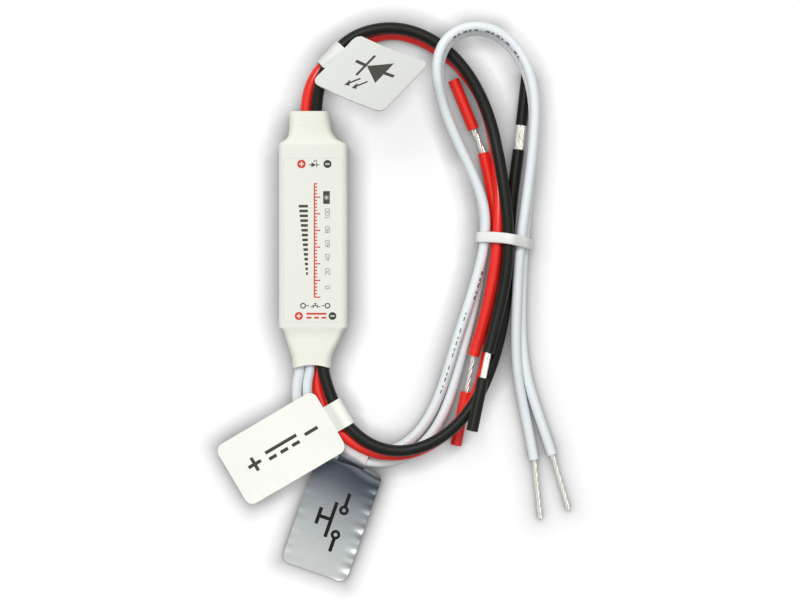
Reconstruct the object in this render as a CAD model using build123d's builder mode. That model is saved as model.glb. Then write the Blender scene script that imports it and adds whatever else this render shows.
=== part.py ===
import math
import os

from build123d import *

os.makedirs("parts", exist_ok=True)

# In-line light dimmer in a shrunk sleeve, lying flat on z = 0 with its leads on both ends.
# Millimetres. X runs across the sleeve, +Y points to the output end, +Z up.

# Shrink sleeve
sleeve_wall = 0.3
body_width = 12.4
body_height = 5.0
output_end = 17.0
supply_end = -16.0
mouth_end = 23.1
edge_round = 1.0
foot_round = 0.6
mouth_round = 1.55
mouth_arch = 0.5

# Circuit board
board_thick = 1.6
board_gap = 0.3
board_corner = 0.5
lead_room = 0.9

# Soldered tails
tail_length = 2.8
solder_radius = 1.0
solder_cover = 0.7
solder_gap = 0.02

# Leads
power_radius = 1.05
button_radius = 0.9
power_core = 0.5
button_core = 0.38
seat_depth = 1.2
seat_gap = 0.03
core_recess = 1.5
core_chamfer = 0.08
neck_bare = 0.22
stub_share = 0.6

# Flag tags of folded film
film = 0.15
tag_gap = 0.1
flag_thick = 0.25
flag_length = 20.9
flag_width = 12.4
flag_corner = 1.5
waist_width = 5.1
fold_back = 1.2

# Bundle tie
tie_width = 1.95
tie_thick = 0.6
tie_gap = 0.05
tie_centre = (34.6, -0.3, 3.2)
tie_slant = 8.0

# Route points of the leads, from the solder joints to the cut ends
led_black_route = [
    (0.54, 16.25, 2.50), (0.52, 19.64, 2.85), (0.47, 23.41, 3.20), (1.04, 27.67, 4.10),
    (2.85, 32.35, 4.20), (6.08, 36.11, 3.60), (10.59, 38.08, 3.25), (15.65, 38.36, 3.15),
    (20.53, 36.80, 3.10), (24.69, 33.90, 3.15), (28.12, 29.91, 3.30), (30.65, 25.21, 3.35),
    (32.35, 20.32, 3.55), (33.41, 15.22, 4.30), (34.28, 9.96, 5.00), (34.95, 4.73, 5.30),
    (35.24, -0.49, 5.25), (34.90, -5.70, 5.30), (33.90, -10.92, 5.45), (32.72, -15.77, 5.70),
    (31.50, -20.43, 6.15),
]
led_red_route = [
    (-1.81, 16.25, 2.50), (-1.64, 19.68, 2.30), (-1.41, 23.50, 2.05), (-0.92, 26.92, 2.30),
    (0.53, 30.18, 2.35), (2.97, 32.67, 1.90), (6.22, 34.72, 1.30), (10.21, 36.65, 1.12),
    (14.56, 37.52, 1.12), (18.74, 36.46, 1.12), (22.64, 34.47, 1.12), (26.45, 31.47, 1.12),
    (29.63, 27.39, 1.12), (31.63, 22.66, 1.15), (32.79, 17.55, 1.70), (33.34, 12.79, 2.45),
    (33.54, 7.87, 3.20), (33.46, 3.15, 3.85), (33.20, -1.36, 4.02), (32.58, -6.23, 3.75),
    (31.64, -11.28, 3.25), (30.40, -16.35, 2.70), (28.96, -20.97, 2.20),
]
supply_black_route = [
    (3.53, -15.95, 2.50), (2.35, -19.10, 3.10), (1.60, -22.84, 3.45), (2.53, -26.44, 3.80),
    (4.03, -30.21, 4.30), (6.47, -33.96, 4.95), (10.26, -36.99, 5.45), (15.11, -38.33, 5.60),
    (20.14, -37.34, 5.65), (24.55, -34.73, 5.70), (27.97, -31.14, 5.55), (30.52, -26.96, 4.50),
    (32.36, -22.48, 3.30), (33.81, -17.44, 2.50), (34.76, -12.01, 2.10), (35.24, -6.21, 1.90),
    (35.35, -0.41, 1.85), (35.69, 5.04, 1.60), (36.40, 10.68, 1.15), (37.17, 16.31, 1.10),
]
supply_red_route = [
    (1.00, -15.95, 2.45), (0.65, -19.26, 1.45), (0.71, -22.89, 1.55), (0.64, -26.51, 1.75),
    (1.71, -30.29, 2.30), (4.08, -34.06, 2.95), (7.43, -37.02, 3.40), (12.04, -38.91, 3.45),
    (17.10, -38.91, 3.45), (21.79, -36.83, 3.50), (25.67, -33.76, 3.52), (28.48, -29.98, 3.25),
    (30.33, -25.60, 1.90), (31.53, -20.90, 1.20), (32.30, -15.64, 1.10), (32.80, -10.19, 1.30),
    (33.12, -5.12, 1.60), (33.20, -0.04, 1.83), (32.92, 5.23, 1.40), (31.99, 10.50, 1.10),
    (30.78, 15.77, 1.08),
]
button_a_route = [
    (-1.27, -15.95, 2.50), (-0.75, -19.24, 2.95), (-0.45, -22.85, 3.30), (-1.30, -26.85, 2.60),
    (-0.58, -31.23, 1.60), (0.95, -34.61, 1.25), (3.76, -36.79, 1.20), (7.39, -37.87, 1.20),
    (11.30, -38.60, 1.20), (15.11, -37.97, 1.05), (18.38, -35.71, 0.95), (21.10, -31.99, 0.93),
    (23.09, -27.52, 1.40), (24.49, -23.05, 2.20), (26.05, -17.79, 2.70), (27.95, -12.00, 2.95),
    (29.74, -6.22, 3.30), (31.05, -0.45, 3.56), (31.13, 5.32, 3.90), (29.31, 10.70, 4.50),
    (26.62, 16.23, 5.40), (24.08, 21.73, 6.40), (22.33, 27.23, 7.15), (22.13, 32.41, 7.30),
    (24.07, 36.38, 7.00), (28.21, 38.42, 6.40), (32.90, 37.76, 5.85), (36.65, 34.71, 5.45),
    (39.07, 30.27, 5.30), (40.06, 24.72, 5.00), (39.79, 18.62, 4.60), (39.15, 12.34, 4.20),
    (38.30, 6.04, 3.80), (37.37, -0.27, 3.62), (36.93, -6.40, 3.40), (36.71, -12.55, 3.00),
    (36.56, -18.70, 2.60), (36.92, -24.70, 1.78), (38.17, -30.90, 0.97), (39.26, -35.98, 0.93),
    (39.99, -39.89, 0.93),
]
button_b_route = [
    (-3.53, -15.95, 2.50), (-2.88, -19.24, 2.90), (-2.25, -22.85, 3.10), (-3.25, -27.03, 2.40),
    (-2.58, -31.60, 1.50), (-0.95, -35.51, 1.25), (2.22, -38.24, 1.20), (6.58, -39.60, 1.20),
    (11.48, -40.60, 1.20), (16.02, -39.79, 1.05), (19.65, -37.35, 0.95), (22.37, -34.08, 0.93),
    (24.46, -29.63, 0.93), (25.91, -24.45, 0.95), (27.46, -18.55, 1.02), (28.96, -12.55, 1.15),
    (30.26, -6.38, 1.45), (31.05, -0.22, 1.68), (30.91, 5.57, 2.00), (29.37, 10.79, 2.60),
    (26.81, 16.17, 3.50), (24.35, 21.60, 4.50), (22.76, 27.03, 5.25), (22.63, 32.05, 5.42),
    (24.38, 35.77, 5.12), (28.26, 37.82, 4.50), (32.43, 37.34, 3.95), (35.97, 34.58, 3.55),
    (38.59, 30.26, 3.40), (39.80, 24.87, 3.10), (39.80, 18.75, 2.70), (39.43, 12.44, 2.30),
    (38.81, 6.12, 1.90), (38.13, -0.22, 1.70), (37.85, -6.39, 1.60), (37.68, -12.55, 1.35),
    (37.79, -18.73, 1.00), (38.63, -24.72, 0.93), (40.44, -30.72, 0.93), (42.08, -35.35, 0.93),
    (43.26, -38.98, 0.93),
]

# Each lead: insulation radius, core radius, route, far end, bare window before the slug of
# insulation that stays on the far end (the button leads are stripped bare instead)
leads = {
    "led_lead_black": (power_radius, power_core, led_black_route, (28.53, -34.34, 7.90), 4.68),
    "led_lead_red": (power_radius, power_core, led_red_route, (25.82, -37.25, 1.07), 6.76),
    "supply_lead_black": (power_radius, power_core, supply_black_route, (38.77, 30.48, 1.07), 4.57),
    "supply_lead_red": (power_radius, power_core, supply_red_route, (25.33, 29.02, 1.07), 4.65),
    "button_lead_a": (button_radius, button_core, button_a_route, (41.14, -50.70, 0.50), None),
    "button_lead_b": (button_radius, button_core, button_b_route, (46.30, -49.10, 0.50), None),
}

# Neck sections of the sleeve: distance from the body's end, shift, width, low, high
output_flare = [
    (0.0, 0.0, body_width, 0.0, body_height),
    (0.4, -0.05, body_width - 0.5, 0.02, body_height - 0.05),
    (0.8, -0.2, body_width - 2.0, 0.05, body_height - 0.1),
    (1.4, -0.3, body_width - 3.6, 0.12, body_height - 0.15),
    (2.2, -0.45, body_width - 4.4, 0.25, body_height - 0.18),
]
output_neck = [
    (2.2, -0.45, body_width - 4.4, 0.25, body_height - 0.18),
    (3.5, -0.58, body_width - 4.9, 0.33, body_height - 0.2),
    (4.8, -0.66, body_width - 5.0, 0.38, body_height - 0.2),
    (mouth_end - output_end, -0.72, body_width - 5.0, 0.4, body_height - 0.2),
]
supply_neck = [
    (-0.6, 0.0, body_width - 1.2, 0.05, body_height - 0.25),
    (0.4, 0.0, body_width - 1.5, 0.05, body_height - 0.25),
    (1.8, -0.04, body_width - 2.5, 0.05, body_height - 0.25),
    (3.1, -0.15, body_width - 3.5, 0.05, body_height - 0.2),
    (4.6, -0.25, body_width - 4.7, 0.05, body_height - 0.15),
    (5.8, -0.27, body_width - 5.3, 0.05, body_height - 0.1),
    (mouth_end + supply_end, -0.25, body_width - 5.4, 0.05, body_height - 0.05),
]


# Rounded section of the sleeve at one place along it, drawn in by a skin
def sleeve_section(y, shift, width, low, high, top_round, low_round, skin):
    with BuildSketch(Plane.XZ.offset(-y)) as section:
        with Locations((shift, low + skin)):
            Rectangle(width - 2 * skin, high - low - 2 * skin, align=(Align.CENTER, Align.MIN))
        fillet(section.vertices().group_by(Axis.Y)[-1], top_round - skin)
        fillet(section.vertices().group_by(Axis.Y)[0], low_round - skin)
    return section.sketch


# Rounds grow from the body's edges to the mouth, and a drawn-in neck runs out past its mouth
def neck_sections(neck, end, heading, skin):
    reach = mouth_end - heading * end
    sections = []
    for distance, shift, width, low, high in neck:
        share = max(0.0, distance / reach)
        top_round = edge_round + (mouth_round - edge_round) * share
        low_round = foot_round + (mouth_round - foot_round) * share
        move = skin if distance == reach else -skin
        y = end + heading * (distance + move)
        sections.append(sleeve_section(y, shift, width, low, high, top_round, low_round, skin))
    return sections


def sleeve_form(skin):
    start = output_end - skin
    with BuildPart() as form:
        body = sleeve_section(start, 0, body_width, 0, body_height, edge_round, foot_round, skin)
        extrude(body, amount=start - supply_end - skin)
        loft(neck_sections(output_flare, output_end, 1, skin), ruled=skin > 0)
        loft(neck_sections(output_neck, output_end, 1, skin), ruled=skin > 0)
        loft(neck_sections(supply_neck, supply_end, -1, skin), ruled=skin > 0)
    return form.part


# Sleeve: the outer form less the same form drawn in by the wall, supply mouth cut to an arch
arch_half = supply_neck[-1][2] / 2 - 2 * sleeve_wall
arch_radius = (arch_half**2 + mouth_arch**2) / (2 * mouth_arch)
with BuildPart() as sleeve:
    add(sleeve_form(0))
    add(sleeve_form(sleeve_wall), mode=Mode.SUBTRACT)
    with BuildSketch():
        with Locations((supply_neck[-1][1], mouth_arch - mouth_end - arch_radius)):
            Circle(arch_radius)
    extrude(amount=body_height, mode=Mode.SUBTRACT)
sleeve.part.label = "shrink_sleeve"
export_step(sleeve.part, "parts/shrink_sleeve.step")

# Circuit board on the sleeve's floor
board_width = body_width - 2 * sleeve_wall - 2 * board_gap
board_low = supply_end + sleeve_wall + board_gap
board_high = output_end - lead_room
board_top = sleeve_wall + board_thick
board_plane = Plane.XY.offset(board_top)
with BuildPart() as board:
    with BuildSketch(Plane.XY.offset(sleeve_wall)):
        with Locations((0, (board_low + board_high) / 2)):
            RectangleRounded(board_width, board_high - board_low, board_corner)
    extrude(amount=board_thick)
board.part.label = "circuit_board"
export_step(board.part, "parts/circuit_board.step")

# Power transistor: moulded body on a metal tab, two gull-wing legs
transistor_y = 8.6
leg_spread = 2.28
with BuildPart() as transistor:
    with BuildSketch(board_plane):
        with Locations((0, transistor_y + 0.5)):
            Rectangle(5.3, 7.1)
    extrude(amount=0.5)
    with BuildSketch(board_plane):
        with Locations((0, transistor_y)):
            Rectangle(6.5, 6.1)
    extrude(amount=2.3, taper=5)
    with BuildSketch(Plane.YZ.offset(-leg_spread), Plane.YZ.offset(leg_spread)):
        with BuildLine():
            Polyline(
                (transistor_y - 2.8, board_top + 1.3),
                (transistor_y - 3.7, board_top + 1.3),
                (transistor_y - 4.3, board_top),
                (transistor_y - 5.4, board_top),
                (transistor_y - 5.4, board_top + 0.5),
                (transistor_y - 4.6, board_top + 0.5),
                (transistor_y - 3.9, board_top + 1.8),
                (transistor_y - 2.8, board_top + 1.8),
                close=True,
            )
        make_face()
    extrude(amount=0.4, both=True)
transistor.part.label = "power_transistor"
export_step(transistor.part, "parts/power_transistor.step")

# Eight-leg controller: moulded body with gull-wing legs on both sides
chip_x = -1.9
chip_y = -1.6
leg_pitch = 1.27
leg_rows = [Plane.XZ.offset(-chip_y - leg_pitch * (row - 1.5)) for row in range(4)]
with BuildPart() as controller:
    with BuildSketch(board_plane.offset(0.15)):
        with Locations((chip_x, chip_y)):
            Rectangle(3.9, 4.9)
    extrude(amount=0.7, taper=-4)
    extrude(controller.faces().sort_by(Axis.Z)[-1], amount=0.7, taper=8)
    for side in (-1, 1):
        with BuildSketch(*leg_rows):
            with BuildLine():
                Polyline(
                    (chip_x + side * 1.7, board_top + 0.75),
                    (chip_x + side * 2.35, board_top + 0.75),
                    (chip_x + side * 2.55, board_top),
                    (chip_x + side * 3.0, board_top),
                    (chip_x + side * 3.0, board_top + 0.2),
                    (chip_x + side * 2.7, board_top + 0.2),
                    (chip_x + side * 2.5, board_top + 0.95),
                    (chip_x + side * 1.7, board_top + 0.95),
                    close=True,
                )
            make_face()
        extrude(amount=0.2, both=True)
controller.part.label = "controller_chip"
export_step(controller.part, "parts/controller_chip.step")

# Three-leg regulator with a flat tab
regulator_x = 2.9
regulator_y = -6.6
with BuildPart() as regulator:
    with BuildSketch(board_plane):
        with Locations((regulator_x, regulator_y)):
            Rectangle(4.5, 2.5)
    extrude(amount=1.5, taper=4)
    with BuildSketch(board_plane):
        with Locations((regulator_x, regulator_y + 1.45)):
            Rectangle(1.7, 1.1)
        with Locations((regulator_x, regulator_y - 1.6)):
            with GridLocations(1.5, 1, 3, 1):
                Rectangle(0.45, 1.2)
    extrude(amount=0.4)
regulator.part.label = "voltage_regulator"
export_step(regulator.part, "parts/voltage_regulator.step")


# Two-ended device that lies along Y: a body between slightly larger end caps
def chip_device(spot, length, width, height, cap):
    with BuildPart() as device:
        with BuildSketch(board_plane.offset(0.05)):
            with Locations(spot):
                Rectangle(width - 0.1, length - 0.1)
        extrude(amount=height - 0.1)
        with BuildSketch(board_plane):
            with Locations(spot):
                with GridLocations(1, length - cap, 1, 2):
                    Rectangle(width, cap)
        extrude(amount=height)
    return device.part


# Name, spots on the board, length, width, height and end cap of the two-ended devices
devices = [
    ("protection_diode", [(-3.2, -10.2)], 4.4, 2.6, 2.2, 1.2),
    ("input_capacitor", [(2.6, -11.2)], 3.2, 2.5, 2.5, 0.6),
    ("output_capacitor", [(-4.4, 4.9)], 3.2, 1.8, 2.0, 0.6),
    ("shunt_resistor", [(3.5, -1.2)], 6.3, 3.1, 0.65, 0.7),
    ("chip_resistors", [(-4.7, -6.2), (-3.3, -6.2), (-1.9, -6.2)], 1.6, 0.8, 0.5, 0.3),
    ("chip_capacitors", [(-0.7, 3.6), (0.7, 3.6)], 1.6, 0.85, 0.85, 0.35),
]
for name, spots, length, width, height, cap in devices:
    with BuildPart() as node:
        for spot in spots:
            add(chip_device(spot, length, width, height, cap))
    node.part.label = name
    export_step(node.part, f"parts/{name}.step")


# Bend radius at each route point: most of the shorter run goes into the bend
def corner_radii(route):
    radii = []
    for before, point, after in zip(route, route[1:], route[2:]):
        back = Vector(*point) - Vector(*before)
        ahead = Vector(*after) - Vector(*point)
        half_turn = math.radians(back.get_angle(ahead)) / 2
        radii.append(0.45 * min(back.length, ahead.length) / math.tan(half_turn))
    return radii


def lead_line(route):
    with BuildLine() as line:
        FilletPolyline(*route, radius=corner_radii(route))
    return line.wires()[0]


# Plane at the far end of a route, facing out along the bare core
def core_plane(route, far):
    return Plane(route[-1], z_dir=Vector(*far) - Vector(*route[-1]))


# Plane at the near end of a route, facing in over the board
def tail_plane(route):
    return Plane(route[0], z_dir=(0, -math.copysign(1, route[0][1]), 0))


lines = {name: lead_line(lead[2]) for name, lead in leads.items()}

# Leads: insulation along the route, bored at both ends for the core
for name, (radius, core, route, far, window) in leads.items():
    line = lines[name]
    with BuildPart() as lead:
        with BuildSketch(Plane(line @ 0, z_dir=line % 0)):
            Circle(radius)
        sweep(path=line)
        share = lead.part.volume / (math.pi * radius**2 * line.length)
        with BuildSketch(core_plane(route, far)):
            Circle(core * stub_share + seat_gap)
        with BuildSketch(tail_plane(route)):
            Circle(core + seat_gap)
        extrude(amount=seat_depth + seat_gap, both=True, mode=Mode.SUBTRACT)
    lead.part.label = name
    export_step(lead.part, f"parts/{name}.step")
    print(f"{name}: length {line.length:.1f}, volume over section by length {share:.3f}, bend radii")
    print("  " + " ".join(f"{radius:.1f}" for radius in corner_radii(route)))

# Bare cores at the far ends, and the slugs of insulation that stay on four of them
for name, (radius, core, route, far, window) in leads.items():
    plane = core_plane(route, far)
    reach = (Vector(*far) - Vector(*route[-1])).length
    bare = reach - core_recess if window else reach
    with BuildPart() as strands:
        with BuildSketch(plane.offset(-seat_depth)):
            Circle(core * stub_share)
        extrude(amount=seat_depth + 2 * neck_bare)
        with BuildSketch(plane.offset(neck_bare)):
            Circle(core)
        extrude(amount=bare - neck_bare)
        chamfer(strands.edges().filter_by(GeomType.CIRCLE).sort_by_distance(far)[0], core_chamfer)
    strands.part.label = name.replace("lead", "core")
    export_step(strands.part, f"parts/{strands.part.label}.step")
    if window:
        with BuildPart() as slug:
            with BuildSketch(plane.offset(window)):
                Circle(radius)
                Circle(core + seat_gap, mode=Mode.SUBTRACT)
            extrude(amount=reach - window)
        slug.part.label = name.replace("lead", "slug")
        export_step(slug.part, f"parts/{slug.part.label}.step")

# Core tails on the board, and the solder that holds them
with BuildPart() as tails:
    for radius, core, route, far, window in leads.values():
        with BuildSketch(tail_plane(route).offset(-seat_depth)):
            Circle(core)
        extrude(amount=seat_depth + tail_length)
tails.part.label = "soldered_tails"
export_step(tails.part, "parts/soldered_tails.step")

with BuildPart() as solder:
    for radius, core, route, far, window in leads.values():
        spot = tail_plane(route).offset(tail_length - solder_radius).origin
        with BuildSketch(Plane((spot.X, spot.Y, board_top))):
            Circle(solder_radius)
        extrude(amount=spot.Z - board_top + solder_cover, taper=15)
    for radius, core, route, far, window in leads.values():
        with BuildSketch(tail_plane(route)):
            Circle(core + solder_gap)
        extrude(amount=tail_length + solder_gap, mode=Mode.SUBTRACT)
solder.part.label = "solder_joints"
export_step(solder.part, "parts/solder_joints.step")

samples = {name: [line @ (step / 800) for step in range(801)] for name, line in lines.items()}


# Spots where a lead passes through a plane near its origin, in the plane's coordinates
def crossings(name, plane, near):
    spots = [plane.to_local_coords(sample) for sample in samples[name]]
    found = []
    for here, after in zip(spots, spots[1:]):
        if here.Z * after.Z <= 0 and here.length < near:
            share = here.Z / (here.Z - after.Z)
            found.append((here.X + share * (after.X - here.X), here.Y + share * (after.Y - here.Y)))
    return found


# Outline of a strap drawn tight round the leads that pass through a plane
def strap_outline(plane, holds, clearance):
    with BuildSketch(plane) as outline:
        for name, spot in holds:
            with Locations(spot):
                Circle(leads[name][0] + clearance)
        make_hull()
    return outline.sketch


def held_spots(names, plane, half_width, near):
    holds = []
    for slide in (-half_width, 0, half_width):
        for name in names:
            holds += [(name, spot) for spot in crossings(name, plane.offset(slide), near)]
    return holds


# Folded film tag: a loop round two leads, and a two-ply flag that leaves the loop over the
# first lead, rises or falls by a slope in degrees and leans lengthwise
def flag_tag(label, names, centre, along, root, rise, lean):
    along = Vector(*along, 0).normalized()
    out = along.cross(Vector(0, 0, 1))
    plane = Plane(centre, x_dir=out, z_dir=-along)
    holds = held_spots(names, plane, waist_width / 2, 5)
    first = crossings(names[0], plane, 5)[0]
    lengthwise = (along + Vector(0, 0, lean)).normalized()
    slope = math.radians(rise)
    run = out * math.cos(slope) + out.cross(lengthwise) * math.sin(slope)
    fold = plane.from_local_coords(Vector(first[0] + root[0], first[1] + root[1], 0))
    flag_plane = Plane(fold, x_dir=run, z_dir=run.cross(lengthwise))
    with BuildPart() as tag:
        extrude(strap_outline(plane, holds, tag_gap + film), amount=waist_width / 2, both=True)
        with BuildSketch(flag_plane):
            RectangleRounded(flag_length, flag_width, flag_corner, align=(Align.MIN, Align.CENTER))
            with Locations((-fold_back, 0)):
                Rectangle(fold_back + 2 * flag_corner, waist_width, align=(Align.MIN, Align.CENTER))
        extrude(amount=flag_thick / 2, both=True)
        inside = strap_outline(plane, holds, tag_gap)
        extrude(inside, amount=waist_width / 2 + flag_corner, both=True, mode=Mode.SUBTRACT)
    tag.part.label = label
    export_step(tag.part, f"parts/{label}.step")


led_pair = ("led_lead_black", "led_lead_red")
flag_tag("led_tag", led_pair, (3.16, 33.24, 3.0), (0.67, 0.72), (0.8, 1.85), 49, -0.25)
supply_pair = ("supply_lead_red", "supply_lead_black")
flag_tag("supply_tag", supply_pair, (4.27, -31.78, 3.4), (0.51, -0.86), (0, 1.7), -7, 0)
button_pair = ("button_lead_b", "button_lead_a")
flag_tag("button_tag", button_pair, (7.4, -38.75, 1.2), (0.944, -0.329), (1.0, 0), -3, 0)

# Bundle tie: a strap drawn tight round all the leads
slant = math.radians(tie_slant)
tie_across = Vector(math.cos(slant), -math.sin(slant), 0)
tie_plane = Plane(tie_centre, x_dir=tie_across, z_dir=tie_across.cross(Vector(0, 0, 1)))
bundle = held_spots(leads, tie_plane, tie_width / 2, 7)
with BuildPart() as tie:
    extrude(strap_outline(tie_plane, bundle, tie_gap + tie_thick), amount=tie_width / 2, both=True)
    inside = strap_outline(tie_plane, bundle, tie_gap)
    extrude(inside, amount=tie_width, both=True, mode=Mode.SUBTRACT)
tie.part.label = "bundle_tie"
export_step(tie.part, "parts/bundle_tie.step")
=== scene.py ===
import random
from math import copysign, cos, hypot, pi, radians, sin, sqrt, tau

import bmesh
import bpy
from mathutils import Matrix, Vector


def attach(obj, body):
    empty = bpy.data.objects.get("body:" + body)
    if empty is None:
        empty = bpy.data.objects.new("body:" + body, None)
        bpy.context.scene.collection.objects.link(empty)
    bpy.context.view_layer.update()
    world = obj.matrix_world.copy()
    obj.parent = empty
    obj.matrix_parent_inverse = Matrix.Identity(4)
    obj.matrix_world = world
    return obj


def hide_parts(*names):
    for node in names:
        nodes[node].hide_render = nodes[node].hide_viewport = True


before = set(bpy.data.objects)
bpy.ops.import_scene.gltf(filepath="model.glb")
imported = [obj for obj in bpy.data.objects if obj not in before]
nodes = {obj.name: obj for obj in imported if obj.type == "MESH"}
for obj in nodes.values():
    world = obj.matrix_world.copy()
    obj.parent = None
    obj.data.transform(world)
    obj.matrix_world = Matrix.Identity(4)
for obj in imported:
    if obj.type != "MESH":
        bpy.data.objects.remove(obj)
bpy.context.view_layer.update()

scene = bpy.context.scene
mm = 0.001
upward = Vector((0, 0, 1))
black = (0, 0, 0, 1)
random.seed(7)
print("frame loaded:", len(nodes), "solids")


# a socket that can be added, multiplied and so on like a number
class Wire:
    def __init__(self, tree, socket):
        self.tree = tree
        self.socket = socket

    def math(self, operation, other=0.0):
        return self.tree.add("ShaderNodeMath", {"operation": operation}, {0: self, 1: other})

    def __add__(self, other):
        return self.math("ADD", other)

    def __sub__(self, other):
        return self.math("SUBTRACT", other)

    def __rsub__(self, other):
        return self.tree.add("ShaderNodeMath", {"operation": "SUBTRACT"}, {0: other, 1: self})

    def __mul__(self, other):
        return self.math("MULTIPLY", other)

    def __pow__(self, other):
        return self.math("POWER", other)

    __radd__ = __add__
    __rmul__ = __mul__


# a node tree, with one method that adds any node
class Tree:
    def __init__(self, nodeTree):
        self.nodeTree = nodeTree

    def set(self, node, sockets):
        for key, value in sockets.items():
            if isinstance(value, Wire):
                self.nodeTree.links.new(value.socket, node.inputs[key])
            else:
                node.inputs[key].default_value = value

    def add(self, kind, settings, sockets, output=0):
        node = self.nodeTree.nodes.new(kind)
        for key, value in settings.items():
            if key == "stops":
                ramp = node.color_ramp.elements
                while len(ramp) < len(value):
                    ramp.new(0.5)
                for stop, (place, colour) in zip(ramp, value):
                    stop.position = place
                    stop.color = (*colour, 1)
            else:
                setattr(node, key, value)
        self.set(node, sockets)
        return Wire(self, node.outputs[output])

    def place(self):
        return self.add("ShaderNodeTexCoord", {}, {}, "Object")

    def part(self, vector, axis):
        return self.add("ShaderNodeSeparateXYZ", {}, {0: vector}, axis)

    def dot(self, vector, direction):
        return self.add("ShaderNodeVectorMath", {"operation": "DOT_PRODUCT"}, {0: vector, 1: direction}, "Value")

    def clamp(self, value):
        return self.add("ShaderNodeClamp", {}, {0: value})

    # from 0 at a start to 1 a reach further on, in millimetres
    def rise(self, value, start, reach):
        return self.clamp((value - start * mm) * (1 / (reach * mm)))

    # from 1 at nothing to 0 at a reach, in millimetres
    def fall(self, value, reach):
        return self.clamp(1 - value * (1 / (reach * mm)))

    def noise(self, scale, detail, rough=0.5, place=None):
        sockets = {"Vector": place or self.place(), "Scale": scale, "Detail": detail, "Roughness": rough}
        return self.add("ShaderNodeTexNoise", {"noise_dimensions": "3D"}, sockets, "Fac")

    def blend(self, share, first, second):
        return self.add("ShaderNodeMix", {"data_type": "RGBA"}, {0: share, 6: first, 7: second}, 2)

    def bump(self, height, strength, distance):
        sockets = {"Height": height, "Strength": strength, "Distance": distance * mm}
        return self.add("ShaderNodeBump", {}, sockets)


# one material with a principled shader
class Finish(Tree):
    def __init__(self, name, sockets):
        self.material = bpy.data.materials.new(name)
        self.material.use_nodes = True
        super().__init__(self.material.node_tree)
        self.nodeTree.nodes.clear()
        output = self.nodeTree.nodes.new("ShaderNodeOutputMaterial")
        self.shader = self.nodeTree.nodes.new("ShaderNodeBsdfPrincipled")
        self.nodeTree.links.new(self.shader.outputs[0], output.inputs[0])
        self.set(self.shader, sockets)

    def dress(self, sockets):
        self.set(self.shader, sockets)
        return self.material


def shade(colour, factor):
    return tuple(c * factor for c in colour[:3]) + (1,)


def tones(colour, low, high):
    return shade(colour, low), shade(colour, high)


# in these looks a noise is its scale and detail, a bump its strength and its depth in millimetres

# cream film drawn tight by heat: satin, yellower round the necks, and paler where it curves over the rounded edges:
# partly paler stretched film, partly a painted highlight there
sleeveLook = {
    "face": (0.775, 0.785, 0.72, 1), "neck": (0.805, 0.815, 0.722, 1), "stretchedHighlight": (0.84, 0.85, 0.815, 1),
    "neckFrom": 16.0, "neckReach": 2.2, "mouthFrom": 19.0, "mouthReach": 2.5,
    "flat": 0.97, "stretchGain": 1.5, "wrinkle": (150, 2200, 150), "wrinkleHeight": 7.0,
    "cloud": (140, 4), "cloudShare": 0.12, "cloudDim": 0.8, "cloudHeight": 2.0, "ripple": (900, 2),
    "ior": 1.45, "rough": 0.45, "spread": 0.12, "bump": (0.25, 0.04),
}


def makeSleeveFilm(look):
    film = Finish("sleeve film", {"IOR": look["ior"]})
    cloud = film.noise(*look["cloud"])
    ripple = film.noise(*look["ripple"])
    away = film.part(film.place(), "Y").math("ABSOLUTE")
    mouth = film.rise(away, look["mouthFrom"], look["mouthReach"])
    neck = film.rise(away, look["neckFrom"], look["neckReach"])
    drawn = film.add("ShaderNodeVectorMath", {"operation": "MULTIPLY"}, {0: film.place(), 1: look["wrinkle"]})
    wrinkle = film.noise(1.0, 3, place=drawn) * mouth * look["wrinkleHeight"]
    # faces that tilt at the rounded edges are made paler: partly stretched film, partly a painted highlight
    facing = film.part(film.add("ShaderNodeNewGeometry", {}, {}, "Normal"), "Z")
    stretchedHighlight = film.clamp((look["flat"] - facing) * look["stretchGain"]) * (1 - neck)
    base = film.blend(stretchedHighlight, film.blend(neck, look["face"], look["neck"]), look["stretchedHighlight"])
    dim = shade(look["face"], look["cloudDim"])
    return film.dress({
        "Base Color": film.blend(cloud * look["cloudShare"], base, dim),
        "Roughness": look["rough"] + look["spread"] * (cloud - 0.5),
        "Normal": film.bump(ripple + cloud * look["cloudHeight"] + wrinkle, *look["bump"]),
    })


# each flag tag: a point on its fold in millimetres, which way it runs and which way the fold lies
tagPlanes = {
    "led_tag": {"fold": (4.052, 32.41, 5.916), "run": (0.605, -0.3129, 0.7322), "along": (0.6609, 0.7102, -0.2425)},
    "supply_tag": {
        "fold": (3.088, -32.481, 4.378), "run": (-0.8537, -0.5063, -0.1219), "along": (0.5101, -0.8601, 0.0),
    },
    "button_tag": {"fold": (6.75, -40.616, 1.2), "run": (-0.3287, -0.943, -0.0523), "along": (0.9443, -0.3291, 0.0)},
}
flagLength = 20.9

# silver film: metal foil whose colour ramp is painted reflection and shade: a pale pinkish painted highlight and a
# dark painted fold line on the loop, then dark near the fold and bright toward the free end
silverLook = {
    "wave": (90, 2), "crease": (420, 3, 0.6), "skew": 0.12, "waver": 0.14, "early": 0.13,
    "metallic": 0.75, "metallicSpread": 0.2, "rough": 0.3, "spread": 0.15, "waveHeight": 4.0, "bump": (0.3, 0.2),
    # painted reflection and shade, from the loop to the free end of the flag
    "stops": [
        (0.0, (0.74, 0.69, 0.69)), (0.05, (0.62, 0.59, 0.59)), (0.075, (0.26, 0.27, 0.29)),
        (0.1, (0.2, 0.21, 0.23)), (0.117, (0.05, 0.055, 0.07)), (0.14, (0.14, 0.16, 0.18)),
        (0.19, (0.047, 0.058, 0.075)), (0.3, (0.095, 0.11, 0.13)), (0.5, (0.31, 0.335, 0.35)),
        (0.66, (0.46, 0.49, 0.5)), (0.87, (0.57, 0.6, 0.59)), (1.0, (0.61, 0.63, 0.62)),
    ],
}


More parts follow.
